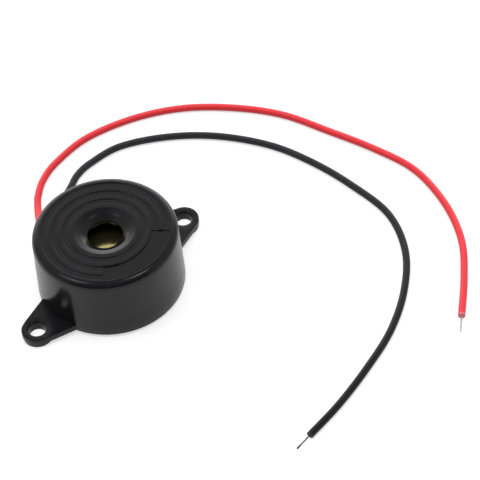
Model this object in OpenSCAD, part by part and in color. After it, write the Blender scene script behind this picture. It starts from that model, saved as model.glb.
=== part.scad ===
// Self-driving piezo buzzer: a moulded cup with two screw ears and two flying leads.
// Origin on the body's axis, level with the table it stands on. Millimetres.
// +X runs along the ears, +Y towards the lead exit, +Z up.

/* [Housing] */
// Outside diameter of the body at its foot
body_d = 30; // [28:0.5:33]
// Height of the body from the wall's foot to the top face
body_h = 14.5; // [13:0.5:18]
// Height of the wall's foot above the cover and the ear bosses, which stand on the table
foot_z = 0.7; // [0.5:0.05:0.75]
// Draft of the outer wall, in degrees
wall_draft = 1.2; // [0.5:0.1:2]
// Radius of the rounded top edge
rim_r = 1.5; // [0.6:0.1:1.6]
// Radius of the rounded foot edge
foot_r = 0.3; // [0.1:0.05:0.4]
// Thickness of the wall around the bottom cover
wall_t = 0.95; // [0.8:0.05:1.4]
// Thickness of the top wall
top_t = 2; // [1.8:0.1:2.6]

/* [Ears] */
// Distance between the two screw holes
hole_spacing = 40; // [38:0.5:46]
// Diameter of a screw hole
hole_d = 3.6; // [3:0.1:4]
// Radius of the round end of an ear
ear_r = 3.2; // [3.1:0.1:4.5]
// Radius of the boss under an ear
boss_r = 3.05; // [2.8:0.05:3.1]
// Taper of an ear's straight flanks, in degrees
ear_taper = 16.5; // [8:0.5:22]
// Height of an ear's top face
ear_h = 1.9; // [1.8:0.1:2.6]
// Height of the underside of an ear around its boss
ear_lift = 0.8; // [0.8:0.1:1.2]

/* [Top face] */
// Diameter of the sound hole
sound_d = 7.3; // [5:0.1:8.5]
// Diameter of the funnel mouth at the top face
mouth_d = 12.4; // [11:0.1:13]
// Depth of the funnel mouth
mouth_depth = 1.6; // [1.2:0.1:1.7]
// Diameter of the edge between the funnel's flat and steep slopes
throat_d = 9.5; // [9:0.1:10]
// Depth of that edge
throat_depth = 0.55; // [0.3:0.05:0.8]
// Width of the land between the mouth and the smallest groove
groove_land = 1; // [0.8:0.1:1.5]
// Width of a groove
groove_w = 1.25; // [0.6:0.05:1.5]
// Distance from one groove to the next
groove_pitch = 2.2; // [1.9:0.05:2.6]
// Depth of the grooves
groove_depth = 0.2; // [0.15:0.05:0.6]
// Radius of the rounded lips of the grooves
lip_r = 0.18; // [0.1:0.02:0.25]
// Radius of the rounded edge of the mouth
mouth_r = 0.8; // [0.3:0.1:1.2]
// Angle that the sunk label field spans
label_span = 88; // [40:1:120]
// Depth of the label field
label_depth = 0.35; // [0.2:0.05:0.8]
// Width of the flat land between the label field and the rounded rim
label_land = 0.1; // [0.05:0.05:0.4]

/* [Sounder disc] */
// Thickness of the brass plate
plate_t = 0.25; // [0.15:0.05:0.5]
// Gap around the edge of the brass plate
plate_gap = 0.15; // [0.05:0.05:0.3]
// Height of the air chamber above the disc
chamber_h = 2.8; // [1.5:0.1:3.5]
// Width of the ledge that the plate's rim sits on
ledge_w = 1; // [0.6:0.1:1.6]
// Width of the bare brass rim around the ceramic disc
brass_rim = 3.5; // [3:0.1:4.5]
// Thickness of the ceramic disc
ceramic_t = 0.25; // [0.15:0.05:0.5]
// Thickness of the silvered electrodes
electrode_t = 0.05; // [0.03:0.01:0.1]
// Bare margin of the ceramic around the electrodes
electrode_margin = 0.6; // [0.3:0.1:1]
// Width of the feedback electrode's tongue
tongue_w = 4; // [3:0.1:5]
// Bare gap around the tongue
tongue_gap = 0.6; // [0.3:0.1:0.9]
// Height of the silicone bead under the plate's rim
bond_h = 0.8; // [0.4:0.1:1.4]
// Width of the silicone bead on the plate
bond_w = 0.9; // [0.5:0.1:1.4]

/* [Bottom cover] */
// Thickness of the cover
cover_t = 1.4; // [1.2:0.1:1.8]
// Gap around the cover
cover_gap = 0.05; // [0.03:0.01:0.1]
// Width of the step that the cover seats on
seat_w = 0.4; // [0.3:0.05:0.6]

/* [Circuit board] */
// Thickness of the board
board_t = 0.8; // [0.6:0.1:1.2]
// Gap around the board
board_gap = 0.6; // [0.3:0.1:1.2]
// Distance from the cavity's wall to the board's straight edge
board_setback = 4.15; // [3.8:0.05:4.6]
// Distance from that edge to the pads of the two leads
pad_inset = 1.3; // [1.2:0.1:1.8]
// Thickness of the copper
track_t = 0.05; // [0.03:0.01:0.1]
// Width of a copper track
track_w = 0.8; // [0.5:0.05:1]
// Diameter of the thin wires from the board to the disc
link_d = 0.4; // [0.25:0.05:0.5]
// Bend radius of those wires
link_bend = 0.8; // [0.6:0.1:1]
// Radius of a solder joint on those wires
joint_r = 0.8; // [0.6:0.05:0.9]
// Radius of a solder joint on a lead
supply_joint_r = 1; // [0.8:0.05:1.1]
// Height of a solder joint
joint_h = 0.6; // [0.4:0.05:0.8]
// Width of the copper around a solder joint
pad_margin = 0.2; // [0.1:0.05:0.3]

/* [Components] */
// Length of a chip resistor
chip_l = 3.2; // [2:0.1:3.6]
// Width of a chip resistor
chip_w = 1.6; // [1:0.1:2]
// Thickness of a chip resistor
chip_h = 0.55; // [0.4:0.05:0.8]
// Length of a resistor's end cap
chip_cap = 0.5; // [0.3:0.05:0.7]
// Thickness of an end cap's metal
chip_wrap = 0.04; // [0.02:0.01:0.08]
// Length of the transistor's body
transistor_l = 2.9; // [2.6:0.1:3.2]
// Width of the transistor's body
transistor_w = 1.3; // [1.1:0.1:1.6]
// Thickness of the transistor's body
transistor_h = 1; // [0.8:0.05:1.2]
// Gap under the transistor's body
transistor_lift = 0.1; // [0.05:0.01:0.2]
// Distance between the two legs on one side
leg_pitch = 1.9; // [1.6:0.1:2]
// Width of a leg
leg_w = 0.45; // [0.3:0.05:0.5]
// Thickness of a leg
leg_t = 0.12; // [0.08:0.01:0.2]
// Length of a leg's foot
leg_foot = 0.4; // [0.3:0.05:0.5]
// Reach of a leg beyond the body
leg_reach = 0.55; // [0.5:0.05:0.8]

/* [Leads] */
// Outside diameter of a lead
lead_d = 1.4; // [1.1:0.05:1.6]
// Diameter of a lead's conductor
core_d = 0.3; // [0.2:0.02:0.5]
// Thickness of the solder under a conductor on its pad
core_lift = 0.05; // [0.03:0.01:0.1]
// Distance between the two leads where they leave the body
lead_gap = 4; // [3:0.1:6]
// Bare length at the far end of a lead
tip_len = 4; // [2:0.5:8]
// Stripped length at the board
strip_len = 2.8; // [2:0.1:3.5]
// Gap between a lead's insulation and the board
strip_gap = 0.3; // [0.1:0.1:0.6]
// Room around a lead in its slot
slot_gap = 0.1; // [0.08:0.01:0.2]
// Thickness of the glue bead along the leads
anchor_t = 2; // [1:0.1:2.2]
// Gap between the glue bead and the board
anchor_gap = 0.7; // [0.4:0.1:0.8]
// Width of the glue beside the leads
anchor_side = 2; // [1.2:0.1:2.2]

/* [Hidden] */
$fn = 96;
eps = 0.01;

// Radii of the stepped cup, from the foot inwards
body_r = body_d / 2;
seat_r = body_r - wall_t;
cavity_r = seat_r - seat_w;
plate_r = cavity_r - plate_gap;
chamber_r = plate_r - ledge_w;
ceramic_r = plate_r - brass_rim;
board_edge = cavity_r - board_setback;
// Heights, from the top face down to the disc and from the table up to the board
top_z = foot_z + body_h;
ceiling_z = top_z - top_t;
plate_top = ceiling_z - chamber_h;
plate_z = plate_top - plate_t;
ceramic_z = plate_z - ceramic_t;
electrode_z = ceramic_z - electrode_t;
board_top = cover_t + board_t;
copper_top = board_top + track_t;
// Centres of the rounded rim and foot on the drafted wall, from the wall's foot up
rim_z = body_h - rim_r;
rim_x = body_r - (rim_r + rim_z * sin(wall_draft)) / cos(wall_draft);
foot_x = body_r - foot_r * (1 + sin(wall_draft)) / cos(wall_draft);
// Screw ears
hole_x = hole_spacing / 2;
ear_tip_x = hole_x + ear_r * sin(ear_taper);
ear_tip_y = ear_r * cos(ear_taper);
ear_root_y = ear_tip_y + ear_tip_x * tan(ear_taper);
// Grooves, as many as fit between the mouth and the rounded rim
groove_r = mouth_d / 2 + groove_land;
groove_room = rim_x - label_land - lip_r - groove_w - groove_r;
groove_count = 1 + floor(groove_room / groove_pitch);
// Label field, opposite the lead exit, from the second groove outwards
label_r0 = groove_r + groove_pitch;
label_r1 = rim_x - label_land;
label_mid = -90;
// Leads: a tube of eight flats, whose axis is level with the conductor on its pad
lead_r = lead_d / 2;
core_r = core_d / 2;
lead_sides = 8;
lead_corner = lead_r / cos(180 / lead_sides);
lead_z = copper_top + core_lift + core_r;
lead_start = board_edge + strip_gap;
lead_out = body_r + 2 * lead_d;
slot_r = lead_corner + slot_gap;
ring_pitch = 3 * lead_d;
// Round places of the solder joints: on the board, then on the disc
spot_inset = 3;
red_pad = [-lead_gap / 2, board_edge - pad_inset];
black_pad = [lead_gap / 2, board_edge - pad_inset];
drive_pad = [3.2, -0.7];
feedback_pad = [3, -7];
ground_pad = [6, 1.5];
drive_spot = [-4, -0.7];
feedback_spot = [0, spot_inset - ceramic_r];
ground_spot = [(ceramic_r + plate_r - bond_w) / 2, 1.5];
// Feedback tongue: straight, from the edge of the ceramic, with a round inner end
electrode_r = ceramic_r - electrode_margin;
tongue_y = feedback_spot[1] + tongue_w / 2;
// Places of the chip resistors and the transistor, and of the soldered ends from their middles
load_at = [0.5, 2];
bias_at = [-6, 2];
feedback_at = [-3, -7];
transistor_at = [0.5, -3];
chip_end = (chip_l - chip_cap) / 2;
leg_end = transistor_w / 2 + leg_reach - leg_foot / 2;

// Routes of the leads' axes: straight through the slot, down to the table, then along it
red_exit = [[-1.4, 20.3, 1.75], [0.2, 22.8, 1.12], [2.2, 25.5, 0.77]];
red_floor = [[4.4, 27.9], [8.1, 30.5], [13.3, 32.2], [22.3, 32.7], [32.8, 29.6], [42, 24],
    [49.5, 16], [55.1, 6.9], [58.4, -3.7], [61.3, -14.4], [62.7, -24.6], [60.3, -35.4], [55.5, -44.7],
    [48.9, -51.8], [40.9, -58.7]];
black_exit = [[2.7, 20.2, 1.75], [4.8, 22.1, 1.15], [7.5, 23.3, 0.8]];
black_floor = [[10.5, 24.6], [13.9, 26.2], [18.2, 26.7], [25.6, 25.6], [34.1, 20.3], [41.4, 12.7],
    [47.1, 2.7], [49.8, -7.5], [50.8, -18.2], [50.3, -29.1], [45.6, -38.5], [37.8, -45.8], [28.5, -51.1],
    [18.3, -54.4], [8.4, -56.7], [-0.6, -57.9]];
function route(x, exit, floor) = concat(
    [[x, lead_start, lead_z], [x, body_r - wall_t, lead_z], [x, lead_out, lead_z]],
    exit,
    [for (p = floor) [p[0], p[1], lead_r]]);
red_route = route(-lead_gap / 2, red_exit, red_floor);
black_route = route(lead_gap / 2, black_exit, black_floor);

// Half section of the body's outside: drafted wall, rounded rim and rounded foot
module outer_section() {
    translate([0, foot_z]) {
        polygon([[0, 0], [foot_x, 0], [foot_x, foot_r],
            [foot_x + foot_r * cos(wall_draft), foot_r * (1 + sin(wall_draft))],
            [rim_x + rim_r * cos(wall_draft), rim_z + rim_r * sin(wall_draft)],
            [rim_x, rim_z], [rim_x, body_h], [0, body_h]]);
        translate([rim_x, rim_z])
            circle(rim_r);
        translate([foot_x, foot_r])
            circle(foot_r);
    }
}

// Half section of the inside: seat for the cover, room for the disc, air chamber, sound hole
module inner_section() {
    translate([0, -1])
        square([seat_r, cover_t + 1]);
    square([cavity_r, plate_top]);
    square([chamber_r, ceiling_z]);
    square([sound_d / 2, top_z + 1]);
}

// Section of a cut's rounded lip: the corner beside a wall at x = 0 below a face at y = 0
module lip() {
    translate([-eps, -lip_r])
        difference() {
            square([lip_r + eps, lip_r + 1]);
            translate([lip_r + eps, 0])
                circle(lip_r);
        }
}

// Half section of the funnel mouth: steep at the hole, flatter outside, its edge rounded into the top face
module mouth_section() {
    slope = atan2(throat_depth, (mouth_d - throat_d) / 2);
    run = mouth_r * tan(slope / 2);
    edge = mouth_d / 2;
    polygon([[0, -mouth_depth], [sound_d / 2, -mouth_depth], [throat_d / 2, -throat_depth], [edge, 0],
        [edge, 1], [0, 1]]);
    difference() {
        polygon([[edge - run * cos(slope), -run * sin(slope)], [edge + run, -mouth_r], [edge + run, eps],
            [edge - run, eps]]);
        translate([edge + run, -mouth_r])
            circle(mouth_r);
    }
}

// Half section of one ring groove, with rounded lips
module groove_section(r) {
    translate([r, -groove_depth])
        square([groove_w, groove_depth + 1]);
    translate([r + groove_w, 0])
        lip();
    translate([r, 0])
        mirror([1, 0])
            lip();
}

// Sector of a ring, for the sunk label field
module label_field() {
    rotate([0, 0, label_mid - label_span / 2])
        rotate_extrude(angle = label_span)
            translate([label_r0, -label_depth])
                square([label_r1 - label_r0, label_depth + 1]);
}

// One ear towards +X: a plate whose flanks run tangent into its round end, on a round boss
module ear() {
    translate([0, 0, ear_lift])
        linear_extrude(ear_h - ear_lift) {
            polygon([[0, -ear_root_y], [ear_tip_x, -ear_tip_y], [ear_tip_x, ear_tip_y], [0, ear_root_y]]);
            translate([hole_x, 0])
                circle(ear_r);
        }
    translate([hole_x, 0, 0])
        cylinder(r = boss_r, h = (ear_lift + ear_h) / 2);
}

// Room for one lead in the wall, open at the foot and round at the top
module lead_slot(x) {
    translate([x, body_d, 0])
        rotate([90, 0, 0])
            linear_extrude(body_d - chamber_r) {
                translate([0, lead_z])
                    circle(slot_r);
                translate([-slot_r, -1])
                    square([2 * slot_r, lead_z + 1]);
            }
}

module housing() {
    color("#1c1c1e")
        difference() {
            union() {
                rotate_extrude()
                    outer_section();
                for (turn = [0, 180])
                    rotate([0, 0, turn])
                        ear();
            }
            rotate_extrude()
                inner_section();
            translate([0, 0, top_z]) {
                rotate_extrude()
                    mouth_section();
                for (i = [0 : groove_count - 1])
                    rotate_extrude()
                        groove_section(groove_r + i * groove_pitch);
                label_field();
            }
            for (side = [-1, 1]) {
                translate([side * hole_x, 0, -1])
                    cylinder(d = hole_d, h = ear_h + 2);
                lead_slot(side * lead_gap / 2);
            }
        }
}

// Closing disc, level with the ear bosses, with a tongue that fills each slot below its lead
module bottom_cover() {
    tongue_top = lead_z - lead_r - slot_gap / 2;
    color("#222224") {
        cylinder(r = seat_r - cover_gap, h = cover_t);
        for (side = [-1, 1])
            intersection() {
                translate([side * lead_gap / 2 - slot_r + cover_gap, cavity_r - 1, 0])
                    cube([2 * (slot_r - cover_gap), body_r, tongue_top]);
                rotate_extrude()
                    outer_section();
            }
    }
}

module diaphragm_plate() {
    color("#c9a24a")
        translate([0, 0, plate_z])
            cylinder(r = plate_r, h = plate_t);
}

module piezo_ceramic() {
    color("#b9b3a2")
        translate([0, 0, ceramic_z])
            cylinder(r = ceramic_r, h = ceramic_t);
}

// Tongue of the feedback electrode, grown by a margin
module tongue(margin) {
    translate([0, tongue_y])
        circle(d = tongue_w + 2 * margin);
    translate([-tongue_w / 2 - margin, -plate_r])
        square([tongue_w + 2 * margin, plate_r + tongue_y]);
}

module main_electrode() {
    color("#d6d6d8")
        translate([0, 0, electrode_z])
            linear_extrude(electrode_t)
                difference() {
                    circle(electrode_r);
                    tongue(tongue_gap);
                }
}

module feedback_electrode() {
    color("#d6d6d8")
        translate([0, 0, electrode_z])
            linear_extrude(electrode_t)
                intersection() {
                    circle(electrode_r);
                    tongue(0);
                }
}

// Silicone bead in the corner under the plate's rim
module disc_bond() {
    color("#e8e6df")
        rotate_extrude()
            polygon([[plate_r - bond_w, plate_z], [cavity_r, plate_z - bond_h], [cavity_r, plate_z]]);
}

module circuit_board() {
    color("#b58a4a")
        translate([0, 0, cover_t])
            linear_extrude(board_t)
                intersection() {
                    circle(cavity_r - board_gap);
                    translate([-body_r, -body_r])
                        square([body_d, body_r + board_edge]);
                }
}

// One copper track through a list of points
module track(points) {
    for (p = points)
        translate(p)
            circle(d = track_w);
    for (i = [1 : len(points) - 1])
        let (a = points[i - 1], d = points[i] - a)
            translate(a)
                rotate(atan2(d[1], d[0]))
                    translate([0, -track_w / 2])
                        square([norm(d), track_w]);
}

module board_tracks() {
    supply_y = (load_at[1] + chip_end + red_pad[1]) / 2;
    collector = transistor_at + [0, leg_end];
    base = transistor_at - [leg_pitch / 2, leg_end];
    emitter = transistor_at + [leg_pitch / 2, -leg_end];
    color("#b8643a")
        translate([0, 0, board_top])
            linear_extrude(track_t) {
                // Supply, from the red lead to the load and bias resistors
                track([red_pad, [red_pad[0], supply_y], [load_at[0], supply_y], load_at + [0, chip_end]]);
                track([[red_pad[0], supply_y], [bias_at[0], supply_y], bias_at + [0, chip_end]]);
                // Base, from the bias resistor to the transistor and the feedback resistor
                track([bias_at - [0, chip_end], [bias_at[0], base[1]], base]);
                track([[bias_at[0], base[1]], [bias_at[0], feedback_at[1]], feedback_at - [chip_end, 0]]);
                // Collector, from the load resistor to the transistor and the disc
                track([load_at - [0, chip_end], collector]);
                track([[load_at[0], drive_pad[1]], drive_pad]);
                // Feedback, from the disc
                track([feedback_at + [chip_end, 0], feedback_pad]);
                // Ground, from the black lead to the disc and the emitter
                track([black_pad, [ground_pad[0], black_pad[1]], ground_pad]);
                track([ground_pad, [ground_pad[0], emitter[1]], emitter]);
                for (p = [red_pad, black_pad])
                    translate(p)
                        circle(supply_joint_r + pad_margin);
                for (p = [drive_pad, feedback_pad, ground_pad])
                    translate(p)
                        circle(joint_r + pad_margin);
            }
}

// Moulded body of the transistor
module transistor() {
    color("#2a2a2c")
        translate([transistor_at[0], transistor_at[1], copper_top + transistor_lift])
            translate([-transistor_l / 2, -transistor_w / 2, 0])
                cube([transistor_l, transistor_w, transistor_h]);
}

// One bent leg, towards -Y from the body's side at y = 0
module leg() {
    mid = transistor_lift + transistor_h / 2;
    heel = leg_reach - leg_foot;
    rotate([90, 0, -90])
        translate([0, 0, -leg_w / 2])
            linear_extrude(leg_w)
                polygon([[0, mid], [0, mid - leg_t], [heel, mid - leg_t], [heel, 0], [leg_reach, 0],
                    [leg_reach, leg_t], [heel + leg_t, leg_t], [heel + leg_t, mid]]);
}

module transistor_legs() {
    color("#d0d0d2")
        translate([transistor_at[0], transistor_at[1], copper_top]) {
            for (side = [-1, 1])
                translate([side * leg_pitch / 2, -transistor_w / 2, 0])
                    leg();
            rotate([0, 0, 180])
                translate([0, -transistor_w / 2, 0])
                    leg();
        }
}

// Chip resistor along X: ceramic body and a wrapped termination at each end
module chip() {
    translate([-chip_l / 2 + chip_cap / 2, -chip_w / 2, chip_wrap])
        cube([chip_l - chip_cap, chip_w, chip_h]);
    for (side = [0, 1])
        mirror([side, 0, 0])
            translate([chip_l / 2 - chip_cap, -chip_w / 2 - chip_wrap, 0])
                cube([chip_cap, chip_w + 2 * chip_wrap, chip_h + 2 * chip_wrap]);
}

module load_resistor() {
    color("#303034")
        translate([load_at[0], load_at[1], copper_top])
            rotate([0, 0, 90])
                chip();
}

module bias_resistor() {
    color("#303034")
        translate([bias_at[0], bias_at[1], copper_top])
            rotate([0, 0, 90])
                chip();
}

module feedback_resistor() {
    color("#303034")
        translate([feedback_at[0], feedback_at[1], copper_top])
            chip();
}

// Quarter turn of a thin wire in the XZ plane, from the angle a on
module link_elbow(a) {
    rotate([90, 0, 0])
        rotate([0, 0, a])
            rotate_extrude(angle = 90)
                translate([link_bend, 0])
                    circle(d = link_d);
}

// Thin wire from the board up to the disc: riser, level run, riser
module link(pad, spot, top) {
    rise = top - copper_top;
    run = norm(spot - pad);
    turn = atan2(spot[1] - pad[1], spot[0] - pad[0]);
    color("#a4552c")
        translate([pad[0], pad[1], copper_top])
            rotate([0, 0, turn]) {
                cylinder(d = link_d, h = rise / 2 - link_bend);
                translate([link_bend, 0, rise / 2 - link_bend])
                    link_elbow(90);
                translate([link_bend, 0, rise / 2])
                    rotate([0, 90, 0])
                        cylinder(d = link_d, h = run - 2 * link_bend);
                translate([run - link_bend, 0, rise / 2 + link_bend])
                    link_elbow(270);
                translate([run, 0, rise / 2 + link_bend])
                    cylinder(d = link_d, h = rise / 2 - link_bend);
            }
}

module drive_lead() {
    link(drive_pad, drive_spot, electrode_z);
}

module feedback_lead() {
    link(feedback_pad, feedback_spot, electrode_z);
}

module ground_lead() {
    link(ground_pad, ground_spot, plate_z);
}

// Cap of solder of a base radius and height, standing on z = 0
module solder_cap(r, h) {
    ball = (r * r + h * h) / (2 * h);
    intersection() {
        translate([0, 0, h - ball])
            sphere(ball);
        translate([-r, -r, 0])
            cube([2 * r, 2 * r, h]);
    }
}

// Solder around a thin wire, standing on the board or hanging from the disc
module link_joint(spot, z, down) {
    color("#c8c8cc")
        translate([spot[0], spot[1], z])
            mirror([0, 0, down])
                difference() {
                    solder_cap(joint_r, joint_h);
                    translate([0, 0, -1])
                        cylinder(d = link_d, h = joint_h + 2);
                }
}

module drive_disc_joint() {
    link_joint(drive_spot, electrode_z, 1);
}

module feedback_disc_joint() {
    link_joint(feedback_spot, electrode_z, 1);
}

module ground_disc_joint() {
    link_joint(ground_spot, plate_z, 1);
}

module drive_board_joint() {
    link_joint(drive_pad, copper_top, 0);
}

module feedback_board_joint() {
    link_joint(feedback_pad, copper_top, 0);
}

module ground_board_joint() {
    link_joint(ground_pad, copper_top, 0);
}

// Stripped end of a lead, over its copper pad
module inner_end(pad) {
    translate([pad[0], lead_start - strip_len, lead_z])
        rotate([-90, 0, 0])
            cylinder(d = core_d, h = strip_len);
}

// Solder around a stripped end
module supply_joint(pad) {
    color("#c8c8cc")
        difference() {
            translate([pad[0], pad[1], copper_top])
                solder_cap(supply_joint_r, joint_h);
            translate([pad[0], 0, lead_z])
                rotate([-90, 0, 0])
                    cylinder(d = core_d, h = body_r);
        }
}

module red_board_joint() {
    supply_joint(red_pad);
}

module black_board_joint() {
    supply_joint(black_pad);
}

module red_inner_end() {
    color("#c4c0b8")
        inner_end(red_pad);
}

module black_inner_end() {
    color("#c4c0b8")
        inner_end(black_pad);
}

// Glue that holds both leads on the cover, between the board and the wall
module lead_anchor() {
    width = lead_gap + lead_d + 2 * anchor_side;
    start = board_edge + anchor_gap;
    color("#d8d2b8")
        difference() {
            translate([-width / 2, start, cover_t])
                cube([width, anchor_t, lead_z + lead_d - cover_t]);
            for (side = [-1, 1])
                translate([side * lead_gap / 2, start - 1, lead_z])
                    rotate([-90, 0, 0])
                        cylinder(r = slot_r, h = anchor_t + 2);
        }
}

// Smooth curve through the points of a route: the point at t from 0 to 1 after point i
function at(p, i) = p[max(0, min(len(p) - 1, i))];
function curve(p, i, t) =
    let (a = at(p, i - 1), b = at(p, i), c = at(p, i + 1), d = at(p, i + 2))
    b + t * (c - a) / 2 + t * t * (a - 2.5 * b + 2 * c - d / 2) + t * t * t * (1.5 * (b - c) + (d - a) / 2);
function on_table(v) = [v[0], v[1], max(v[2], lead_r)];
// Axis of a lead: rings about three diameters apart, none below the table
function axis(p) = concat(
    [for (i = [0 : len(p) - 2])
        let (n = max(1, round(norm(p[i + 1] - p[i]) / ring_pitch)))
            for (k = [0 : n - 1]) on_table(curve(p, i, k / n))],
    [p[len(p) - 1]]);
function unit(v) = v / norm(v);
// Direction of the axis at one of its points
function heading(q, i) = unit(at(q, i + 1) - at(q, i - 1));
// Ring of corners square to the axis, with a flat side down
function ring(centre, along) =
    let (side = unit(cross(along, [0, 0, 1])), up = cross(side, along))
    [for (k = [0 : lead_sides - 1])
        let (a = (k + 0.5) * 360 / lead_sides)
            centre + lead_corner * (cos(a) * side + sin(a) * up)];

// Insulation of one lead, swept along its route
module lead_tube(p) {
    q = axis(p);
    n = lead_sides;
    last = (len(q) - 1) * n;
    corners = [for (i = [0 : len(q) - 1]) each ring(q[i], heading(q, i))];
    walls = [for (i = [0 : len(q) - 2]) for (k = [0 : n - 1])
        [i * n + k, i * n + (k + 1) % n, (i + 1) * n + (k + 1) % n, (i + 1) * n + k]];
    ends = [[for (k = [n - 1 : -1 : 0]) k], [for (k = [0 : n - 1]) last + k]];
    polyhedron(corners, concat(walls, ends));
}

// Bare conductor beyond the far end of a route
module lead_tip(p) {
    q = axis(p);
    way = heading(q, len(q) - 1);
    translate(q[len(q) - 1])
        rotate([0, 90, atan2(way[1], way[0])])
            cylinder(d = core_d, h = tip_len);
}

module red_lead() {
    color("#f0424c")
        lead_tube(red_route);
}

module black_lead() {
    color("#232325")
        lead_tube(black_route);
}

module red_tip() {
    color("#b9b4aa")
        lead_tip(red_route);
}

module black_tip() {
    color("#b9b4aa")
        lead_tip(black_route);
}

housing();
bottom_cover();
diaphragm_plate();
piezo_ceramic();
main_electrode();
feedback_electrode();
disc_bond();
circuit_board();
board_tracks();
transistor();
transistor_legs();
load_resistor();
bias_resistor();
feedback_resistor();
drive_lead();
feedback_lead();
ground_lead();
drive_disc_joint();
feedback_disc_joint();
ground_disc_joint();
drive_board_joint();
feedback_board_joint();
ground_board_joint();
red_board_joint();
black_board_joint();
lead_anchor();
red_inner_end();
black_inner_end();
red_lead();
black_lead();
red_tip();
black_tip();
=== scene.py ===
import math

import bpy
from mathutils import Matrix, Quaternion, Vector


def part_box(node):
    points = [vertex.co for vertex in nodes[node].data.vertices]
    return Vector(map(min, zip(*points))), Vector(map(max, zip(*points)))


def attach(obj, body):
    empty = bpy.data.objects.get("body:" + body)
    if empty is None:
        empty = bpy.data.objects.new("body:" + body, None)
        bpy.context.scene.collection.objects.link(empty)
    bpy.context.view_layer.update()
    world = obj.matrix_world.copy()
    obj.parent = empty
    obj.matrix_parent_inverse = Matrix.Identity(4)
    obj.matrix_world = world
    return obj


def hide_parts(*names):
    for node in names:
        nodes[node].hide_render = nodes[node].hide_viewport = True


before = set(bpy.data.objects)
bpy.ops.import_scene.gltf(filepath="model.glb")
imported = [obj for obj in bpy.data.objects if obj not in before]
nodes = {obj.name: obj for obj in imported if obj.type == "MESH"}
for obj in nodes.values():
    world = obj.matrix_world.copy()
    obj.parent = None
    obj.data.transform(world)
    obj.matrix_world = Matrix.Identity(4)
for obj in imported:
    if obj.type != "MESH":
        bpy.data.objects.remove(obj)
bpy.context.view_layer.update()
mm = 0.001  # sizes below are millimetres
near = 0.01 * mm  # counts as the same place
print("frame: %d solids" % len(nodes))


# camera: long lens, looking down on the body from its left front

cameraSettings = {
    "lens": 225.0,
    "sensor": 36.0,
    "lookAt": (24.69, -11.84, 0.7),
    "distance": 612.55,
    "azimuth": -39.05,  # degrees, 0 looks along +Y
    "elevation": 48.75,
    "roll": 6.13,
    "clip": (0.01, 20),  # metres
}


def awayTo(azimuth, elevation):  # direction from the object to a viewer or lamp
    turn = math.radians(azimuth)
    rise = math.radians(elevation)
    return Vector((math.sin(turn) * math.cos(rise), -math.cos(turn) * math.cos(rise), math.sin(rise)))


def addCamera(s):
    back = awayTo(s["azimuth"], s["elevation"])
    bpy.ops.object.camera_add(location=(Vector(s["lookAt"]) + back * s["distance"]) * mm)
    camera = bpy.context.object
    camera.name = "photoCamera"
    camera.rotation_mode = "QUATERNION"
    roll = Quaternion((0, 0, 1), -math.radians(s["roll"]))
    camera.rotation_quaternion = (-back).to_track_quat("-Z", "Y") @ roll
    camera.data.lens = s["lens"]
    camera.data.sensor_width = s["sensor"]
    camera.data.clip_start, camera.data.clip_end = s["clip"]
    bpy.context.scene.camera = camera


addCamera(cameraSettings)


# small tools for working with operators

def deselectAll():
    bpy.ops.object.select_all(action="DESELECT")


def only(piece):  # selects the piece alone and makes it active
    deselectAll()
    piece.select_set(True)
    bpy.context.view_layer.objects.active = piece


def editMode(on):
    bpy.ops.object.mode_set(mode="EDIT" if on else "OBJECT")


def pick(piece, kind, test):  # edit mode, with only what passes the test selected
    editMode(True)
    bpy.ops.mesh.select_mode(type=kind)
    bpy.ops.mesh.select_all(action="DESELECT")
    editMode(False)
    points = piece.data.vertices
    if kind == "VERT":
        for point in points:
            point.select = test(point.co)
    elif kind == "EDGE":
        for edge in piece.data.edges:
            edge.select = test(*(points[i].co for i in edge.vertices))
    else:
        for face in piece.data.polygons:
            face.select = test(face.center, face.normal)
    editMode(True)


def pull(x, y, z):  # extrudes what is selected
    bpy.ops.mesh.extrude_region_move(TRANSFORM_OT_translate={"value": (x, y, z)})


def cleanMesh():  # in edit mode: doubles merged, faces outwards
    bpy.ops.mesh.select_all(action="SELECT")
    bpy.ops.mesh.remove_doubles(threshold=0.0004 * mm)
    bpy.ops.mesh.normals_make_consistent(inside=False)


def applyPlace():
    bpy.ops.object.transform_apply(location=True, rotation=True, scale=True)


def combine(piece, other, operation):
    only(piece)
    bpy.ops.object.modifier_add(type="BOOLEAN")
    cut = piece.modifiers[-1]
    cut.object = other
    cut.operation = operation
    cut.solver = "EXACT"
    bpy.ops.object.modifier_apply(modifier=cut.name)
    bpy.data.objects.remove(other)


def drawOutline(name, corners, place):
    # a corner is across, up, fillet radius and fillet steps; place turns across and up into a point
    deselectAll()
    bpy.ops.mesh.primitive_plane_add(size=mm)
    piece = bpy.context.object
    piece.name = name
    editMode(True)
    bpy.ops.mesh.merge(type="CENTER")
    last = Vector((0, 0, 0))
    for count, corner in enumerate(corners):
        step = place(*corner[:2]) - last
        if count == 0:
            bpy.ops.transform.translate(value=step)
        else:
            pull(*step)
        last += step
    bpy.ops.mesh.select_all(action="SELECT")
    bpy.ops.mesh.edge_face_add()
    for count, (across, up, radius, steps) in enumerate(corners):
        if radius == 0:
            continue
        here = place(across, up)
        before = (place(*corners[count - 1][:2]) - here).normalized()
        after = (place(*corners[(count + 1) % len(corners)][:2]) - here).normalized()
        reach = radius * mm / math.tan(before.angle(after) / 2)
        pick(piece, "VERT", lambda co: (co - here).length < 0.001 * mm)
        bpy.ops.mesh.bevel(offset=reach, segments=steps, affect="VERTICES")
    return piece


# housing: one moulding, spun from its half section, with two ears

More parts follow.
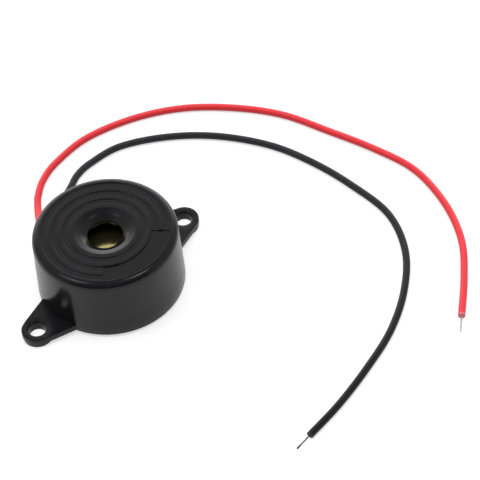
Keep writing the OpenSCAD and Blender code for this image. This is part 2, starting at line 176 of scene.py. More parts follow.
housing = {
    "footHeight": 0.5,
    "footRadius": 15.0,
    "draft": 1.2,  # degrees
    "footRound": 0.3,
    "rimRound": 1.5,
    "wallRows": (0.2, 0.4, 0.6, 0.8),  # rows of faces up the wall, as shares of its height
    "grooveStarts": (7.2, 9.4, 11.6),
    "grooveWidth": 1.25,
    "grooveDepth": 0.16,
    "grooveRound": 0.06,
    "mouthRadius": 6.2,
    "mouthRound": 0.8,
    "throatRadius": 4.9,  # where the funnel turns steep
    "throatDepth": 0.38,
    "throatRound": 0.25,
    "mouthDepth": 1.22,
    "soundRadius": 3.58,
    "soundRound": 0.15,
    "topThickness": 2.0,
    "chamberRadius": 12.5,
    "cavityRadius": 13.65,
    "seatRadius": 14.05,
    "labelInner": 9.4,
    "labelOuter": 13.1,
    "labelDepth": 0.3,
    "labelRound": 0.06,
    "labelMiddle": -90,  # degrees, opposite the leads
    "labelSpan": 88,
    "holdEdge": 0.1,  # from a sunk edge to the row that keeps the flat beside it flat
    # steps of the rounds
    "edgeSteps": 3,
    "rimSteps": 10,
    "mouthSteps": 6,
    "throatSteps": 5,
    "soundSteps": 4,
    "facetAngle": 2,  # degrees
    "smoothAngle": 32,
}
ear = {
    "radius": 3.2,
    "holeRadius": (1.85, 1.65),  # at the top and at the foot, tapered for the mould pin
    "bossRadius": 3.05,
    "top": 2.15,
    "underside": 0.8,
    "taper": 16.5,  # degrees
    "rootAcross": 14.06,  # ends inside the wall
    "edgeRound": 0.12,
    "edgeSteps": 3,
    "sharpAngle": 60,
    "facets": 120,
}
leadSlot = {"radius": 0.85, "inside": 13.0, "outside": 16.0, "facets": 32}


def sunkCorners(inner, outer, top, depth, rounding, s, extra=()):
    # a groove in the top, from its outer edge inwards
    floor = top - depth
    hold = s["holdEdge"]
    steps = s["edgeSteps"]
    return [(outer + hold, top, 0, 0), (outer, top, rounding, steps), (outer, floor, rounding, steps),
            (outer - hold, floor, 0, 0), (inner + hold, floor, 0, 0), (inner, floor, rounding, steps),
            *extra, (inner, top, rounding, steps), (inner - hold, top, 0, 0)]


def housingCorners(s, withLabel):
    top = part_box("housing")[1].z / mm
    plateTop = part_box("diaphragm_plate")[1].z / mm
    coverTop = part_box("circuit_board")[0].z / mm
    foot = s["footHeight"]
    rim = s["footRadius"] - (top - foot) * math.tan(math.radians(s["draft"]))
    ceiling = top - s["topThickness"]
    corners = [(s["seatRadius"], foot, 0, 0), (s["footRadius"], foot, s["footRound"], s["edgeSteps"])]
    for share in s["wallRows"]:
        corners.append((s["footRadius"] + share * (rim - s["footRadius"]), foot + share * (top - foot), 0, 0))
    corners.append((rim, top, s["rimRound"], s["rimSteps"]))
    # where the two sections run along each other they share corners, so that the end walls close
    if withLabel:
        onWall = (s["labelInner"], top - s["grooveDepth"] + s["grooveRound"], 0, 0)
        corners += sunkCorners(s["labelInner"], s["labelOuter"], top, s["labelDepth"], s["labelRound"], s,
                               [onWall])
    else:
        corners += [(s["labelOuter"] + past, top, 0, 0) for past in (s["holdEdge"], s["labelRound"])]
    for start in reversed(s["grooveStarts"][:1] if withLabel else s["grooveStarts"]):
        corners += sunkCorners(start, start + s["grooveWidth"], top, s["grooveDepth"], s["grooveRound"], s)
    corners += [
        (s["mouthRadius"], top, s["mouthRound"], s["mouthSteps"]),
        (s["throatRadius"], top - s["throatDepth"], s["throatRound"], s["throatSteps"]),
        (s["soundRadius"], top - s["mouthDepth"], s["soundRound"], s["soundSteps"]),
        (s["soundRadius"], ceiling, s["soundRound"], s["edgeSteps"]),
        (s["chamberRadius"], ceiling, 0, 0),
        (s["chamberRadius"], plateTop, 0, 0),
        (s["cavityRadius"], plateTop, 0, 0),
        (s["cavityRadius"], coverTop, 0, 0),
        (s["seatRadius"], coverTop, 0, 0),
    ]
    return corners


def spinSection(name, corners, start, sweep, s):
    turn = math.radians(start)
    along = Vector((math.cos(turn), math.sin(turn), 0))
    piece = drawOutline(name, corners, lambda r, z: (along * r + Vector((0, 0, z))) * mm)
    bpy.ops.mesh.select_all(action="SELECT")
    bpy.ops.mesh.delete(type="ONLY_FACE")
    bpy.ops.mesh.select_all(action="SELECT")
    steps = round(sweep / s["facetAngle"])
    # spin runs clockwise about its axis, so the axis points down
    bpy.ops.mesh.spin(steps=steps, angle=math.radians(sweep), center=(0, 0, 0), axis=(0, 0, -1))
    editMode(False)
    return piece


def modelBody(s):
    half = s["labelSpan"] / 2
    ring = spinSection("housingShell", housingCorners(s, False), s["labelMiddle"] + half, 360 - 2 * half, s)
    field = spinSection("labelField", housingCorners(s, True), s["labelMiddle"] - half, 2 * half, s)
    only(ring)
    field.select_set(True)
    bpy.ops.object.join()
    editMode(True)
    cleanMesh()
    for side in (-1, 1):  # end walls of the sunk label field
        bpy.ops.mesh.select_mode(type="EDGE")
        bpy.ops.mesh.select_all(action="DESELECT")
        bpy.ops.mesh.select_non_manifold(extend=False)
        editMode(False)
        points = ring.data.vertices
        for edge in ring.data.edges:
            edge.select = edge.select and all(side * points[i].co.x > 0 for i in edge.vertices)
        editMode(True)
        bpy.ops.mesh.edge_face_add()
    cleanMesh()
    editMode(False)
    return ring


def modelEar(s):
    middle = Vector(((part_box("housing")[1].x / mm - s["radius"]) * mm, 0, 0))

    def roundFace(centre, normal, side):  # a flat face around the hole's axis, on top or below
        return side * normal.z > 0.9 and (centre - middle).xy.length < 10 * near

    deselectAll()
    # turned by half a facet, so that a corner lies where each flank touches the round end
    bpy.ops.mesh.primitive_circle_add(
        vertices=s["facets"], radius=s["radius"] * mm, fill_type="NGON",
        location=(middle.x, 0, s["underside"] * mm), rotation=(0, 0, math.radians(180 / s["facets"])))
    piece = bpy.context.object
    piece.name = "screwEar"
    applyPlace()
    editMode(True)
    bpy.ops.mesh.select_all(action="SELECT")
    pull(0, 0, (s["top"] - s["underside"]) * mm)
    cleanMesh()
    # the side towards the body is drawn out, spread and flattened inside the wall
    flank = math.radians(90 - s["taper"])
    touch = middle.xy + s["radius"] * mm * Vector((math.cos(flank), math.sin(flank)))
    root = s["rootAcross"] * mm
    spread = (touch.y + (touch.x - root) * math.tan(math.radians(s["taper"]))) / touch.y
    pick(piece, "FACE", lambda centre, normal: abs(normal.z) < 0.5
         and abs(math.atan2(centre.y, centre.x - middle.x)) > flank)
    pull(0, 0, 0)
    bpy.ops.transform.resize(value=(0, spread, 1), center_override=(root, 0, 0))
    for side in (-1, 1):  # the bulge beside each flank is pressed into it
        flankEnd = side * touch.y * spread
        pick(piece, "VERT", lambda co: co.x < root + near and side * co.y > abs(flankEnd) - near)
        bpy.ops.transform.resize(value=(1, 0, 1), center_override=(0, flankEnd, 0))
    cleanMesh()
    # boss under the round end
    pick(piece, "FACE", lambda centre, normal: roundFace(centre, normal, -1))
    bpy.ops.mesh.inset(thickness=(s["radius"] - s["bossRadius"]) * mm)
    pull(0, 0, -s["underside"] * mm)
    # screw hole: both round faces are inset to it and bridged
    for side, radius, hole in zip((1, -1), (s["radius"], s["bossRadius"]), s["holeRadius"]):
        pick(piece, "FACE", lambda centre, normal: roundFace(centre, normal, side))
        bpy.ops.mesh.inset(thickness=(radius - hole) * mm)
    pick(piece, "FACE", lambda centre, normal: roundFace(centre, normal, 1) or roundFace(centre, normal, -1))
    bpy.ops.mesh.bridge_edge_loops()
    cleanMesh()
    # edges rounded, except inside the wall and in the corner around the boss
    bpy.ops.mesh.select_mode(type="EDGE")
    bpy.ops.mesh.select_all(action="DESELECT")
    bpy.ops.mesh.edges_select_sharp(sharpness=math.radians(s["sharpAngle"]))
    editMode(False)
    points = piece.data.vertices
    for edge in piece.data.edges:
        ends = [points[i].co for i in edge.vertices]
        inWall = all(end.x < root + near for end in ends)
        atBoss = all(abs(end.z - s["underside"] * mm) < near
                     and (end - middle).xy.length < s["bossRadius"] * mm + 5 * near for end in ends)
        edge.select = edge.select and not inWall and not atBoss
    editMode(True)
    bpy.ops.mesh.bevel(offset=s["edgeRound"] * mm, segments=s["edgeSteps"], affect="EDGES")
    cleanMesh()
    editMode(False)
    return piece


def modelSlotCutter(leadEnd, s):
    low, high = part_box(leadEnd)
    axis = (low + high) / 2
    deselectAll()
    bpy.ops.mesh.primitive_cylinder_add(
        vertices=s["facets"], radius=s["radius"] * mm, depth=(s["outside"] - s["inside"]) * mm,
        location=(axis.x, (s["outside"] + s["inside"]) / 2 * mm, axis.z), rotation=(math.pi / 2, 0, 0))
    piece = bpy.context.object
    applyPlace()
    pick(piece, "FACE", lambda centre, normal: normal.z < -0.02)
    pull(0, 0, -2 * axis.z)  # open at the foot
    cleanMesh()
    editMode(False)
    return piece


def modelHousing():
    body = modelBody(housing)
    print("housing: body spun, %d faces" % len(body.data.polygons))
    for turn in (0, math.pi):
        screwEar = modelEar(ear)
        only(screwEar)
        screwEar.rotation_euler.z = turn
        applyPlace()
        combine(body, screwEar, "UNION")
    for leadEnd in ("red_inner_end", "black_inner_end"):
        combine(body, modelSlotCutter(leadEnd, leadSlot), "DIFFERENCE")
    only(body)
    editMode(True)
    cleanMesh()
    editMode(False)
    bpy.ops.object.shade_smooth_by_angle(angle=math.radians(housing["smoothAngle"]))
    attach(body, "root")
    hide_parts("housing")
    print("housing: ears and lead slots done, %d faces" % len(body.data.polygons))
    return body


housingShell = modelHousing()


# leads: straight out of the slot, down to the table, then along it

leads = {
    "redLength": 0.157,  # metres, along the route
    "blackLength": 0.162,
    "diameter": 1.5,
    "curveSteps": 10,  # between two points of the route
    "roundSteps": 6,
    "strands": 7,
    "strandFacets": 8,
    "strandDiameter": 0.1,
    "strandGap": 0.004,
    "tipLength": 4.0,
    "tipInside": 0.4,  # start of the bare strands inside the insulation
    "steps": 22,
    "stepTurn": 13,  # degrees of twist in one step
    "tinned": 1.3,  # swelling of the last part of the black tip
    "tinnedFrom": 0.75,  # share of the tip's length
    "smoothAngle": 50,
}
redRoute = [
    (-2, 9.8, 2.45), (-2, 14.05, 2.45), (-2, 17.8, 2.45), (-1.4, 20.3, 1.75), (0.2, 22.8, 1.12),
    (2.2, 25.5, 0.77), (4.4, 27.9, 0.75), (8.1, 30.5, 0.75), (13.3, 32.2, 0.75), (22.3, 32.7, 0.75),
    (32.8, 29.6, 0.75), (42, 24, 0.75), (49.5, 16, 0.75), (55.1, 6.9, 0.75), (58.4, -3.7, 0.75),
    (61.3, -14.4, 0.75), (62.7, -24.6, 0.75), (60.3, -35.4, 0.75), (55.5, -44.7, 0.75), (48.9, -51.8, 0.75),
    (40.9, -58.7, 0.75),
]
blackRoute = [
    (2, 9.8, 2.45), (2, 14.05, 2.45), (2, 17.8, 2.45), (2.7, 20.2, 1.75), (4.8, 22.1, 1.15),
    (7.5, 23.3, 0.8), (10.5, 24.6, 0.75), (13.9, 26.2, 0.75), (18.2, 26.7, 0.75), (25.6, 25.6, 0.75),
    (34.1, 20.3, 0.75), (41.4, 12.7, 0.75), (47.1, 2.7, 0.75), (49.8, -7.5, 0.75), (50.8, -18.2, 0.75),
    (50.3, -29.1, 0.75), (45.6, -38.5, 0.75), (37.8, -45.8, 0.75), (28.5, -51.1, 0.75), (18.3, -54.4, 0.75),
    (8.4, -56.7, 0.75), (-0.6, -57.9, 0.75),
]


def layLead(name, route, s):
    deselectAll()
    bpy.ops.curve.primitive_bezier_curve_add()
    lead = bpy.context.object
    lead.name = name
    lead.data.splines.clear()
    knots = lead.data.splines.new("BEZIER").bezier_points
    knots.add(len(route) - 1)
    points = [Vector(p) * mm for p in route]
    for i, knot in enumerate(knots):
        reach = (points[min(i + 1, len(points) - 1)] - points[max(i - 1, 0)]) / 6
        knot.handle_left_type = knot.handle_right_type = "FREE"
        knot.co = points[i]
        knot.radius = s["diameter"] / 2 * mm  # the bounding box reads it too
        knot.handle_left = points[i] - reach
        knot.handle_right = points[i] + reach
        for handle in (knot.handle_left, knot.handle_right):
            handle.z = max(handle.z, s["diameter"] / 2 * mm)  # never below the table
    lead.data.dimensions = "3D"
    lead.data.resolution_u = s["curveSteps"]
    lead.data.bevel_depth = 1  # times the radius of the knots
    lead.data.bevel_resolution = s["roundSteps"]
    lead.data.use_fill_caps = True
    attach(lead, "root")
    return lead


def twistTip(name, route, swelling, s):  # strands pulled out in steps, and turned a little at each
    deselectAll()
    outer = s["strands"] - 1  # strands around the middle one
    turns = [2 * math.pi * k / outer for k in range(outer)]
    spots = [(0, 0)] + [(math.cos(turn), math.sin(turn)) for turn in turns]
    circles = []
    for across, up in spots:
        bpy.ops.mesh.primitive_circle_add(
            vertices=s["strandFacets"], fill_type="NGON",
            radius=(s["strandDiameter"] - s["strandGap"]) / 2 * mm,
            location=(across * s["strandDiameter"] * mm, up * s["strandDiameter"] * mm, 0))
        circles.append(bpy.context.object)
    for circle in circles:
        circle.select_set(True)
    bpy.ops.object.join()
    tip = bpy.context.object
    tip.name = name
    applyPlace()
    editMode(True)
    bpy.ops.mesh.select_all(action="SELECT")
    length = (s["tipLength"] + s["tipInside"]) * mm
    for step in range(s["steps"]):
        pull(0, 0, length / s["steps"])
        bpy.ops.transform.rotate(
            value=math.radians(s["stepTurn"]), orient_axis="Z", center_override=(0, 0, 0))
        if step == round(s["steps"] * s["tinnedFrom"]):
            bpy.ops.transform.resize(value=(swelling, swelling, 1), center_override=(0, 0, 0))
    bpy.ops.mesh.select_all(action="SELECT")
    bpy.ops.mesh.fill_holes(sides=s["strandFacets"])
    cleanMesh()
    editMode(False)
    end = Vector(route[-1]) * mm
    along = (end - Vector(route[-2]) * mm).normalized()
    tip.location = end - along * s["tipInside"] * mm
    tip.rotation_euler = along.to_track_quat("Z", "Y").to_euler()
    only(tip)
    applyPlace()
    bpy.ops.object.shade_smooth_by_angle(angle=math.radians(s["smoothAngle"]))
    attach(tip, "root")
    return tip


redLead = layLead("redLead", redRoute, leads)
blackLead = layLead("blackLead", blackRoute, leads)
redTip = twistTip("redLeadTip", redRoute, 1, leads)
blackTip = twistTip("blackLeadTip", blackRoute, leads["tinned"], leads)
for lead, tip, route, colour, length in (
        (redLead, redTip, redRoute, "red", leads["redLength"]),
        (blackLead, blackTip, blackRoute, "black", leads["blackLength"])):
    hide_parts(colour + "_lead")
    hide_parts(colour + "_tip")
print("leads: laid and stripped")


# materials

noiseSpan = (0.3, 0.7)  # where most of a noise lies


def linear(hexColour):  # sRGB hex to linear RGBA
    parts = [int(hexColour[i:i + 2], 16) / 255 for i in (1, 3, 5)]
    return (*(c / 12.92 if c <= 0.04045 else ((c + 0.055) / 1.055) ** 2.4 for c in parts), 1)


def perMm(size):  # texture scale for a feature of that size
    return 1 / (size * mm)


def addNode(tree, kind, settings, links=()):
    node = tree.nodes.new("ShaderNode" + kind)
    for name, value in settings.items():
        if isinstance(name, int) or name in node.inputs:
            node.inputs[name].default_value = value
        else:
            setattr(node, name, value)
    for name, source in dict(links).items():
        tree.links.new(source, node.inputs[name])
    return node


def startMaterial(name, roughness, more=()):
    material = bpy.data.materials.new(name)
    material.use_nodes = True
    tree = material.node_tree
    shader = tree.nodes["Principled BSDF"]
    shader.inputs["Roughness"].default_value = roughness
    for socket, value in dict(more).items():
        shader.inputs[socket].default_value = value
    return material, tree, shader, addNode(tree, "TexCoord", {}).outputs["Object"]


# black ABS from a polished mould: near black and glossy, with soft flow ripples, hairline scuffs and
# a few specks of dust
blackAbsLook = {
    "ior": 1.4,
    "colour": "#131315",
    "flow": "#18181b",
    "flowSize": 6.0,
    "dust": "#77777a",
    "dustCell": 2.4,
    "dustSize": 0.05,  # share of a cell
    "dustShare": 0.22,
    "roughness": (0.15, 0.24),
    "scuffRoughness": 0.12,
    "scuffWidth": 0.5,
    "scuffStretch": 0.06,
    "scuffTurn": (0.3, 0.2, 0.8),  # radians
    "scuffRange": (0.68, 0.74),  # of the noise, the rarest part of it
    "rippleSize": 2.2,
    "rippleHeight": 0.003,
    "peelSize": 0.35,
    "peelHeight": 0.0006,
}


def makeBlackAbs(s):
    material, tree, shader, place = startMaterial("blackAbs", s["roughness"][0], {"IOR": s["ior"]})
    flow = addNode(tree, "TexNoise", {"Scale": perMm(s["flowSize"]), "Detail": 3.0}, {"Vector": place})
    tint = addNode(tree, "Mix", {"data_type": "RGBA", 6: linear(s["colour"]), 7: linear(s["flow"])},
                   {0: flow.outputs["Fac"]})
    # dust: a speck in some cells of a wide cell pattern
    cell = addNode(tree, "TexVoronoi", {"Scale": perMm(s["dustCell"])}, {"Vector": place})
    speck = addNode(tree, "MapRange", {1: s["dustSize"], 2: s["dustSize"] * 0.4, 3: 0.0, 4: 1.0},
                    {0: cell.outputs["Distance"]})
    chance = addNode(tree, "Math", {"operation": "LESS_THAN", 1: s["dustShare"]}, {0: cell.outputs["Color"]})
    dusty = addNode(tree, "Math", {"operation": "MULTIPLY"}, {0: speck.outputs[0], 1: chance.outputs[0]})
    skin = addNode(tree, "Mix", {"data_type": "RGBA", 7: linear(s["dust"])},
                   {0: dusty.outputs[0], 6: tint.outputs[2]})
    tree.links.new(skin.outputs[2], shader.inputs["Base Color"])
    # scuffs: thin streaks where a stretched noise is at its highest
    slant = addNode(tree, "Mapping", {"Rotation": s["scuffTurn"], "Scale": (1, s["scuffStretch"], 1)},
                    {"Vector": place})
    streak = addNode(tree, "TexNoise", {"Scale": perMm(s["scuffWidth"]), "Detail": 2.0},
                     {"Vector": slant.outputs[0]})
    low, high = s["scuffRange"]
    scuff = addNode(tree, "MapRange", {1: low, 2: high, 3: 0.0, 4: s["scuffRoughness"]},
                    {0: streak.outputs["Fac"]})
    smooth, dull = s["roughness"]
    gloss = addNode(tree, "MapRange", {1: noiseSpan[0], 2: noiseSpan[1], 3: smooth, 4: dull},
                    {0: flow.outputs["Fac"]})
    worn = addNode(tree, "Math", {"operation": "ADD"}, {0: gloss.outputs[0], 1: scuff.outputs[0]})
    tree.links.new(worn.outputs[0], shader.inputs["Roughness"])
    ripple = addNode(tree, "TexNoise", {"Scale": perMm(s["rippleSize"]), "Detail": 1.0}, {"Vector": place})
    peel = addNode(tree, "TexNoise", {"Scale": perMm(s["peelSize"]), "Detail": 2.0}, {"Vector": place})
    swell = addNode(tree, "Bump", {"Strength": 1.0, "Distance": s["rippleHeight"] * mm},
                    {"Height": ripple.outputs["Fac"]})
    grain = addNode(tree, "Bump", {"Strength": 1.0, "Distance": s["peelHeight"] * mm},
                    {"Height": peel.outputs["Fac"], "Normal": swell.outputs[0]})
    tree.links.new(grain.outputs[0], shader.inputs["Normal"])
    return material


def makeFinish(name, s):
    # two tones in soft patches with a finer grain over them; stretch draws the grain out along an axis
    material, tree, shader, place = startMaterial(name, s["roughness"][0], s.get("more", {}))
    drawn = addNode(tree, "Mapping", {"Scale": s.get("stretch", (1, 1, 1))}, {"Vector": place})
    patch = addNode(tree, "TexNoise", {"Scale": perMm(s["patchSize"]), "Detail": 3.0}, {"Vector": place})
    grain = addNode(tree, "TexNoise", {"Scale": perMm(s["grainSize"]), "Detail": 4.0, "Roughness": 0.6},
                    {"Vector": drawn.outputs[0]})
    blend = addNode(tree, "Mix", {0: s.get("grainShare", 0.4)},
                    {2: patch.outputs["Fac"], 3: grain.outputs["Fac"]})
    spread = addNode(tree, "MapRange", {1: 0.32, 2: 0.68}, {0: blend.outputs[0]})  # a blend varies less
    tint = addNode(tree, "Mix", {"data_type": "RGBA", 6: linear(s["colours"][0]), 7: linear(s["colours"][1])},
                   {0: spread.outputs[0]})
    tree.links.new(tint.outputs[2], shader.inputs["Base Color"])
    smooth, dull = s["roughness"]
    gloss = addNode(tree, "MapRange", {1: noiseSpan[0], 2: noiseSpan[1], 3: smooth, 4: dull},
                    {0: grain.outputs["Fac"]})
    tree.links.new(gloss.outputs[0], shader.inputs["Roughness"])
    bump = addNode(tree, "Bump", {"Strength": 1.0, "Distance": s["height"] * mm},
                   {"Height": grain.outputs["Fac"]})
    tree.links.new(bump.outputs[0], shader.inputs["Normal"])
    return material


finishes = {
    # ABS from a matt mould: greyer and duller than the housing
    "mattAbs": {"colours": ("#1a1a1c", "#212123"), "patchSize": 5, "grainSize": 0.25,
                "roughness": (0.42, 0.55), "height": 0.006, "more": {"IOR": 1.5}},
    # rolled brass: yellow mirror, drawn out in fine rolling lines, a little browner where it was handled
    "rolledBrass": {"colours": ("#f6ebaa", "#eadd92"), "patchSize": 3, "grainSize": 0.3,
                    "stretch": (0.08, 1, 1), "roughness": (0.1, 0.22), "height": 0.0006,
                    "more": {"Metallic": 0.98}},
    # fired piezo ceramic: dense, chalky grey-beige with a fine grain
    "firedCeramic": {"colours": ("#cfc7b4", "#bdb4a0"), "patchSize": 2, "grainSize": 0.12,
                     "roughness": (0.5, 0.62), "height": 0.003},
    # screen-printed silver: bright but satin, with the mesh of the screen left in it
    "printedSilver": {"colours": ("#dcdcda", "#c6c5c1"), "patchSize": 2.5, "grainSize": 0.15,
                      "roughness": (0.32, 0.45), "height": 0.002, "more": {"Metallic": 1.0}},
    # silicone bead: milky, soft shine
    "milkySilicone": {"colours": ("#ebe8e0", "#dedad0"), "patchSize": 1.5, "grainSize": 0.4,
                      "roughness": (0.3, 0.42), "height": 0.01,
                      "more": {"Subsurface Weight": 0.25, "Subsurface Scale": 0.0004, "IOR": 1.41}},
    # paper laminate: brown resin with pale paper fibres
    "paperLaminate": {"colours": ("#b98a4c", "#9c6f36"), "patchSize": 2.5, "grainSize": 0.12,
                      "stretch": (0.2, 1, 1), "roughness": (0.35, 0.48), "height": 0.002, "grainShare": 0.6},
    # etched and drawn copper: warm, dulled in patches
    "dullCopper": {"colours": ("#d98c63", "#b0603c"), "patchSize": 1.2, "grainSize": 0.2,
                   "roughness": (0.25, 0.4), "height": 0.001, "more": {"Metallic": 1.0}},
    # moulded epoxy: charcoal, matt and faintly gritty
    "mouldedEpoxy": {"colours": ("#2a2a2d", "#222225"), "patchSize": 0.8, "grainSize": 0.06,
                     "roughness": (0.45, 0.6), "height": 0.003},
    # tin solder: bright, slightly grained where it froze
    "tinSolder": {"colours": ("#d5d5d6", "#b9b9bc"), "patchSize": 0.6, "grainSize": 0.15,
                  "roughness": (0.18, 0.32), "height": 0.004, "more": {"Metallic": 1.0}},
    # hot-melt glue: cloudy amber
    "hotMeltGlue": {"colours": ("#ded4ae", "#cbbf92"), "patchSize": 1.5, "grainSize": 0.5,
                    "roughness": (0.28, 0.4), "height": 0.02,
                    "more": {"Subsurface Weight": 0.3, "Subsurface Scale": 0.0006, "IOR": 1.48}},
    # tinned copper strands: pale grey, satin from their many small facets
    "tinnedCopper": {"colours": ("#dcdad6", "#bdbab5"), "patchSize": 0.7, "grainSize": 0.1,
                     "roughness": (0.4, 0.55), "height": 0.002, "more": {"Metallic": 0.5}},
    # the same strands stained by flux: dark grey, dull
    "fluxedCopper": {"colours": ("#6f6c67", "#4a4743"), "patchSize": 0.7, "grainSize": 0.1,
                     "roughness": (0.4, 0.55), "height": 0.002, "more": {"Metallic": 0.7}},
}
made = {name: makeFinish(name, look) for name, look in finishes.items()}
made["blackAbs"] = makeBlackAbs(blackAbsLook)


# extruded PVC: even colour, soft shine, faint waviness from the die; towards the tip painted shading (the
# black lead darkened where it mirrors the dark room on the camera's side, the red one a touch pinker), paler
# at the cut end
redPvcLook = {
    "colours": ("#ff353f", "#f92f3b"),
    "ior": 1.52,
    # painted shading towards the tip: here only a touch pinker than the lead
    "tipPaintedShading": "#ff3844",
    "tipPaintedShadingLength": 75,
    # cut end paler: partly the stripper's stretch, partly a painted highlight
    "stretchAndSheen": "#ff8d92",
    "stretchAndSheenLength": 0.5,
    "waveSize": 2.5,
    "roughness": (0.36, 0.46),
    "height": 0.006,
}
blackPvcLook = {
    "colours": ("#27272b", "#2d2d31"),
    "ior": 1.4,
    # painted shade towards the tip, where the lead mirrors the dark room on the camera's side
    "tipPaintedShading": "#0a0a0b",
    "tipPaintedShadingLength": 75,
    # cut end a little paler than the painted shade beside it: partly stretch, partly a painted highlight
    "stretchAndSheen": "#1c1c1f",
    "stretchAndSheenLength": 0.5,
    "waveSize": 2.5,
    "roughness": (0.42, 0.52),
    "height": 0.006,
}


def makePvc(name, route, s):
    material, tree, shader, place = startMaterial(name, s["roughness"][0], {"IOR": s["ior"]})
    wave = addNode(tree, "TexNoise", {"Scale": perMm(s["waveSize"]), "Detail": 3.0}, {"Vector": place})
    tint = addNode(tree, "Mix", {"data_type": "RGBA", 6: linear(s["colours"][0]), 7: linear(s["colours"][1])},
                   {0: wave.outputs["Fac"]})
    fromEnd = addNode(tree, "VectorMath", {"operation": "DISTANCE", 1: Vector(route[-1]) * mm}, {0: place})
    reach = math.hypot(s["stretchAndSheenLength"], leads["diameter"] / 2) * mm
    skin = tint
    # towards the tip the painted shading, and then the paler cut end (partly the stripper's stretch, partly a
    # painted highlight), begin at one distance from it and have fully come in at the other
    for colour, begins, ends in (
            ("tipPaintedShading", s["tipPaintedShadingLength"] * mm, 0.0), ("stretchAndSheen", reach, reach * 0.8)):
        share = addNode(tree, "MapRange", {1: begins, 2: ends, 3: 0.0, 4: 1.0}, {0: fromEnd.outputs["Value"]})
        skin = addNode(tree, "Mix", {"data_type": "RGBA", 7: linear(s[colour])},
                       {0: share.outputs[0], 6: skin.outputs[2]})
    tree.links.new(skin.outputs[2], shader.inputs["Base Color"])
    gloss = addNode(tree, "MapRange", {3: s["roughness"][0], 4: s["roughness"][1]}, {0: wave.outputs["Fac"]})
    tree.links.new(gloss.outputs[0], shader.inputs["Roughness"])
    bump = addNode(tree, "Bump", {"Strength": 1.0, "Distance": s["height"] * mm},
                   {"Height": wave.outputs["Fac"]})
    tree.links.new(bump.outputs[0], shader.inputs["Normal"])
    return material


# chip resistor: glazed dark body between tinned end caps
chipLook = {
    "body": "#26262b",
    "caps": "#c4c4c6",
    "capLength": 0.5,
    "roughness": 0.4,
    "grainSize": 0.08,
    "height": 0.002,
}


def makeChip(name, node, s):
    low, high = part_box(node)
    axis = 0 if high.x - low.x > high.y - low.y else 1
    middle = (low[axis] + high[axis]) / 2
    bodyEnd = (high[axis] - low[axis]) / 2 - s["capLength"] * mm  # from the middle
    material, tree, shader, place = startMaterial(name, s["roughness"])
    along = addNode(tree, "SeparateXYZ", {}, {0: place})
    offset = addNode(tree, "Math", {"operation": "SUBTRACT", 1: middle}, {0: along.outputs[axis]})
    reach = addNode(tree, "Math", {"operation": "ABSOLUTE"}, {0: offset.outputs[0]})
    cap = addNode(tree, "Math", {"operation": "GREATER_THAN", 1: bodyEnd}, {0: reach.outputs[0]})
    tint = addNode(tree, "Mix", {"data_type": "RGBA", 6: linear(s["body"]), 7: linear(s["caps"])},
                   {0: cap.outputs[0]})
    tree.links.new(tint.outputs[2], shader.inputs["Base Color"])
    tree.links.new(cap.outputs[0], shader.inputs["Metallic"])
    grain = addNode(tree, "TexNoise", {"Scale": perMm(s["grainSize"]), "Detail": 3.0}, {"Vector": place})
    bump = addNode(tree, "Bump", {"Strength": 1.0, "Distance": s["height"] * mm},
                   {"Height": grain.outputs["Fac"]})
    tree.links.new(bump.outputs[0], shader.inputs["Normal"])
    return material


def dress(piece, material):
    piece.data.materials.clear()
    piece.data.materials.append(material)


slotFinish = {
    "black_abs": "mattAbs", "brass": "rolledBrass", "ceramic": "firedCeramic", "silver": "printedSilver",
    "silicone": "milkySilicone", "board": "paperLaminate", "copper": "dullCopper", "epoxy": "mouldedEpoxy",
    "solder": "tinSolder", "glue": "hotMeltGlue", "tinned_copper": "tinnedCopper",
}
slotNodes = {
    "black_abs": ("housing", "bottom_cover"),
    "brass": ("diaphragm_plate",),
    "ceramic": ("piezo_ceramic",),
    "silver": ("main_electrode", "feedback_electrode"),
    "silicone": ("disc_bond",),
    "board": ("circuit_board",),
    "copper": ("board_tracks", "drive_lead", "feedback_lead", "ground_lead"),
    "epoxy": ("transistor",),
    "solder": ("transistor_legs", "drive_disc_joint", "feedback_disc_joint", "ground_disc_joint",
               "drive_board_joint", "feedback_board_joint", "ground_board_joint", "red_board_joint",
               "black_board_joint"),
    "glue": ("lead_anchor",),
    "tinned_copper": ("red_inner_end", "black_inner_end", "red_tip", "black_tip"),
}
for slot, names in slotNodes.items():
    for name in names:
        dress(nodes[name], made[slotFinish[slot]])
for name in ("load_resistor", "bias_resistor", "feedback_resistor"):
    dress(nodes[name], makeChip("chip_" + name, name, chipLook))
redPvc = makePvc("redPvc", redRoute, redPvcLook)
blackPvc = makePvc("blackPvc", blackRoute, blackPvcLook)
for piece, material in (
        (housingShell, made["blackAbs"]), (redLead, redPvc), (nodes["red_lead"], redPvc),
        (blackLead, blackPvc), (nodes["black_lead"], blackPvc),
        (redTip, made["tinnedCopper"]), (blackTip, made["fluxedCopper"])):
    dress(piece, material)
print("materials: %d" % len(bpy.data.materials))


# studio: white table, bright sweep behind it, dim sides, dark room on the camera's side, two softboxes and
# a wide fill above

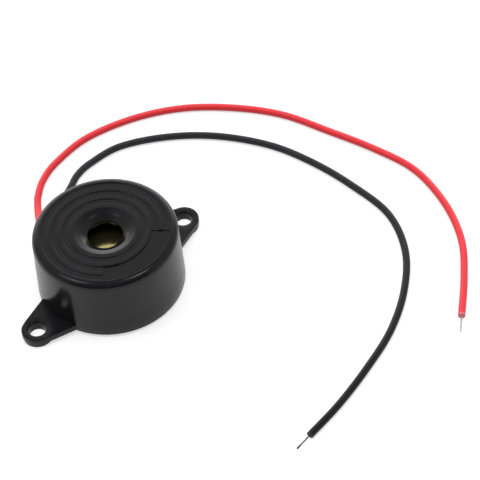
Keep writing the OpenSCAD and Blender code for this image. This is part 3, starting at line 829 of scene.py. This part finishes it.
studio = {
    "floorSize": 8.0,
    "floorDrop": 0.02,  # millimetres below what stands on it
    "floorRoughness": 0.9,
    "floorColour": "#cdcdcd",
    "floorGlow": 0.6,  # added for the camera, so that the table shows white
    "floorShine": 0.36,  # added for reflections
    "softboxes": ((82, 73), (-92, 66)),  # degrees from the camera's side, and up
    "softboxDistance": 1.0,
    "softboxSize": 0.3,
    "softboxWatts": 0.85,
    "fillHeight": 1.6,
    "fillSize": 1.5,
    "fillWatts": 12.0,
    "roomStrength": 2.4,
    # where one side of the room runs into the next, as cosines of the turn away from straight behind
    "besideFrom": (-0.75, -0.25),
    "behindFrom": (0.65, 0.95),
    # brightness by height, as pairs of sine of the elevation and level
    "roomBehind": ((0, 1.0), (0.3, 1.0), (0.45, 0.7), (0.6, 0.4), (0.75, 0.25), (0.88, 0.12), (1, 0.06)),
    "roomBeside": ((0, 0.2), (0.3, 0.2), (0.55, 0.2), (0.75, 0.2), (0.88, 0.12), (1, 0.06)),
    "roomBefore": ((0, 0.45), (0.06, 0.2), (0.14, 0.03), (0.5, 0.03), (0.7, 0.1), (0.85, 0.1), (1, 0.06)),
}


def addFloor(s):
    deselectAll()
    bpy.ops.mesh.primitive_plane_add(size=s["floorSize"], location=(0, 0, -s["floorDrop"] * mm))
    floor = bpy.context.object
    floor.name = "table"
    material, tree, shader, place = startMaterial(
        "whiteTable", s["floorRoughness"],
        {"Base Color": linear(s["floorColour"]), "Specular IOR Level": 0.0, "Emission Color": (1, 1, 1, 1)})
    rays = addNode(tree, "LightPath", {}).outputs
    mirrored = addNode(tree, "Math", {"operation": "MAXIMUM"},
                       {0: rays["Is Glossy Ray"], 1: rays["Is Transmission Ray"]})
    shine = addNode(tree, "Math", {"operation": "MULTIPLY", 1: s["floorShine"]}, {0: mirrored.outputs[0]})
    glow = addNode(tree, "Math", {"operation": "MULTIPLY_ADD", 1: s["floorGlow"]},
                   {0: rays["Is Camera Ray"], 2: shine.outputs[0]})
    tree.links.new(glow.outputs[0], shader.inputs["Emission Strength"])
    dress(floor, material)


def addLamp(name, place, size, watts):
    bpy.ops.object.light_add(type="AREA", location=place)
    lamp = bpy.context.object
    lamp.name = name
    lamp.rotation_mode = "QUATERNION"
    lamp.rotation_quaternion = place.to_track_quat("Z", "Y")
    lamp.data.shape = "DISK"
    lamp.data.size = size
    lamp.data.energy = watts
    return lamp


def addLamps(s):
    for count, (turn, rise) in enumerate(s["softboxes"]):
        place = awayTo(cameraSettings["azimuth"] + turn, rise) * s["softboxDistance"]
        addLamp("softbox%d" % count, place, s["softboxSize"], s["softboxWatts"])
    fill = addLamp("fill", Vector((0, 0, s["fillHeight"])), s["fillSize"], s["fillWatts"])
    fill.visible_glossy = False  # no mirror image of it in the black plastic


def addRoom(s):
    world = bpy.data.worlds.new("studioRoom")
    bpy.context.scene.world = world
    world.use_nodes = True
    tree = world.node_tree
    sky = tree.nodes["Background"]
    look = addNode(tree, "TexCoord", {}).outputs["Generated"]
    height = addNode(tree, "SeparateXYZ", {}, {0: look}).outputs["Z"]
    levels = {}
    for side in ("roomBehind", "roomBeside", "roomBefore"):
        ramp = addNode(tree, "ValToRGB", {}, {0: height})
        stops = ramp.color_ramp.elements
        while len(stops) < len(s[side]):
            stops.new(1)
        for stop, (at, level) in zip(stops, s[side]):
            stop.position = at
            stop.color = (level, level, level, 1)
        levels[side] = ramp.outputs[0]
    flat = addNode(tree, "VectorMath", {"operation": "MULTIPLY", 1: (1, 1, 0)}, {0: look})
    flat = addNode(tree, "VectorMath", {"operation": "NORMALIZE"}, {0: flat.outputs[0]})
    straight = -awayTo(cameraSettings["azimuth"], 0)
    behind = addNode(tree, "VectorMath", {"operation": "DOT_PRODUCT", 1: straight}, {0: flat.outputs[0]})
    level = levels["roomBefore"]
    for side, (begins, ends) in (("roomBeside", s["besideFrom"]), ("roomBehind", s["behindFrom"])):
        share = addNode(tree, "MapRange", {"interpolation_type": "SMOOTHSTEP", 1: begins, 2: ends},
                        {0: behind.outputs["Value"]})
        level = addNode(tree, "Mix", {"data_type": "RGBA"},
                        {0: share.outputs[0], 6: level, 7: levels[side]}).outputs[2]
    tree.links.new(level, sky.inputs["Color"])
    sky.inputs["Strength"].default_value = s["roomStrength"]


addFloor(studio)
addLamps(studio)
addRoom(studio)
bpy.context.scene.view_settings.view_transform = "Standard"
print("studio: done")
